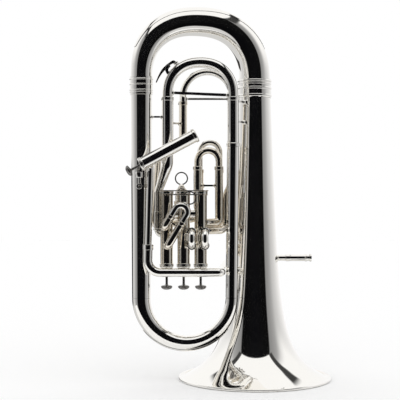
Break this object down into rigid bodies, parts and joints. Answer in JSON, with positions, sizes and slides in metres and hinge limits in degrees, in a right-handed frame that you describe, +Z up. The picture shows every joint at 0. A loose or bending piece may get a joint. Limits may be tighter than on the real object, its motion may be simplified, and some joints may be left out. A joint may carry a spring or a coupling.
{
  "type": "euphonium",
  "caption": "Silver-plated compensating euphonium with piston valves, a slanted fourth valve and working slides, standing on its bell.",
  "frame": {"origin": "under the middle of the whole, on the plane of the bell rim", "axes": "+Z up from the bell rim to the large bow, -Y the side that the fourth valve faces, +X from the valves to the bell"},
  "size_m": [0.3838, 0.29, 0.704],
  "materials": {
    "bright_silver": "polished",
    "cap_silver": "polished",
    "spring_steel": "satin"
  },
  "bodies": {
    "body": {"bell": "bright_silver", "bell_garland": "bright_silver", "large_bow": "bright_silver", "large_bow_guard": "bright_silver", "branch_ferrule": "bright_silver", "left_branch": "bright_silver", "small_bow": "bright_silver", "small_bow_guard": "bright_silver", "first_branch": "bright_silver", "main_sleeve_right": "bright_silver", "main_sleeve_left": "bright_silver", "third_slide_sleeves": "bright_silver", "third_compensating_sleeves": "bright_silver", "fourth_sleeve_left": "bright_silver", "fourth_return_tube": "bright_silver", "first_slide_sleeves": "bright_silver", "first_compensating_sleeves": "bright_silver", "second_slide_sleeves": "bright_silver", "second_compensating_sleeves": "bright_silver", "leadpipe": "bright_silver", "mouthpiece_receiver": "bright_silver", "valve_feed_tube": "bright_silver", "valve_knuckle_12": "bright_silver", "valve_knuckle_23": "bright_silver", "valve_plate": "bright_silver", "lyre_holder": "bright_silver", "valve_casing_1": "bright_silver", "valve_top_cap_1": "cap_silver", "valve_bottom_cap_1": "cap_silver", "valve_spring_1": "spring_steel", "valve_casing_2": "bright_silver", "valve_top_cap_2": "cap_silver", "valve_bottom_cap_2": "cap_silver", "valve_spring_2": "spring_steel", "valve_casing_3": "bright_silver", "valve_top_cap_3": "cap_silver", "valve_bottom_cap_3": "cap_silver", "valve_spring_3": "spring_steel", "valve_casing_4": "bright_silver", "valve_top_cap_4": "cap_silver", "valve_bottom_cap_4": "cap_silver", "valve_spring_4": "spring_steel"},
    "main_slide": {"main_tuning_slide": "bright_silver"},
    "key": {"water_key": "bright_silver"},
    "slide_fourth": {"fourth_valve_slide": "bright_silver"},
    "slide_third": {"third_valve_slide": "bright_silver"},
    "slide_third_compensating": {"third_compensating_slide": "bright_silver"},
    "slide_first": {"first_valve_slide": "bright_silver"},
    "slide_first_compensating": {"first_compensating_slide": "bright_silver"},
    "slide_second": {"second_valve_slide": "bright_silver"},
    "slide_second_compensating": {"second_compensating_slide": "bright_silver"},
    "valve_1": {"piston_1": "spring_steel", "finger_button_1": "cap_silver"},
    "valve_2": {"piston_2": "spring_steel", "finger_button_2": "cap_silver"},
    "valve_3": {"piston_3": "spring_steel", "finger_button_3": "cap_silver"},
    "valve_4": {"piston_4": "spring_steel", "finger_button_4": "cap_silver"}
  },
  "joints": [
    {"name": "main_slide_pull", "type": "slide", "parent": "body", "child": "main_slide", "axis": [0, 0, 1], "range_m": [0, 0.035]},
    {"name": "fourth_slide_pull", "type": "slide", "parent": "body", "child": "slide_fourth", "axis": [0, 0, 1], "range_m": [0, 0.04]},
    {"name": "third_slide_pull", "type": "slide", "parent": "body", "child": "slide_third", "axis": [0, 0, 1], "range_m": [0, 0.05]},
    {"name": "third_compensating_pull", "type": "slide", "parent": "body", "child": "slide_third_compensating", "axis": [0, 0, 1], "range_m": [0, 0.05]},
    {"name": "first_slide_pull", "type": "slide", "parent": "body", "child": "slide_first", "axis": [0.5225, 0, 0.8526], "range_m": [0, 0.01]},
    {"name": "first_compensating_pull", "type": "slide", "parent": "body", "child": "slide_first_compensating", "axis": [0, 0, 1], "range_m": [0, 0.03]},
    {"name": "second_slide_pull", "type": "slide", "parent": "body", "child": "slide_second", "axis": [0, -1, 0], "range_m": [0, 0.01]},
    {"name": "second_compensating_pull", "type": "slide", "parent": "body", "child": "slide_second_compensating", "axis": [0, -1, 0], "range_m": [0, 0.01]},
    {"name": "valve_1_press", "type": "slide", "parent": "body", "child": "valve_1", "axis": [0, 0, 1], "range_m": [0, 0.017], "stiffness_N_per_m": 150, "springref_m": -0.02, "deforming": ["valve_spring_1"]},
    {"name": "valve_2_press", "type": "slide", "parent": "body", "child": "valve_2", "axis": [0, 0, 1], "range_m": [0, 0.017], "stiffness_N_per_m": 150, "springref_m": -0.02, "deforming": ["valve_spring_2"]},
    {"name": "valve_3_press", "type": "slide", "parent": "body", "child": "valve_3", "axis": [0, 0, 1], "range_m": [0, 0.017], "stiffness_N_per_m": 150, "springref_m": -0.02, "deforming": ["valve_spring_3"]},
    {"name": "valve_4_press", "type": "slide", "parent": "body", "child": "valve_4", "axis": [0.8813, 0, 0.4726], "range_m": [0, 0.017], "stiffness_N_per_m": 150, "springref_m": -0.02, "deforming": ["valve_spring_4"]},
    {"name": "water_key_open", "type": "hinge", "parent": "main_slide", "child": "key", "pos_m": [-0.11367, -0.057, 0.58666], "axis": [0, -1, 0], "range_deg": [0, 10], "stiffness_Nm_per_rad": 0.03, "springref_deg": -28.65}
  ]
}
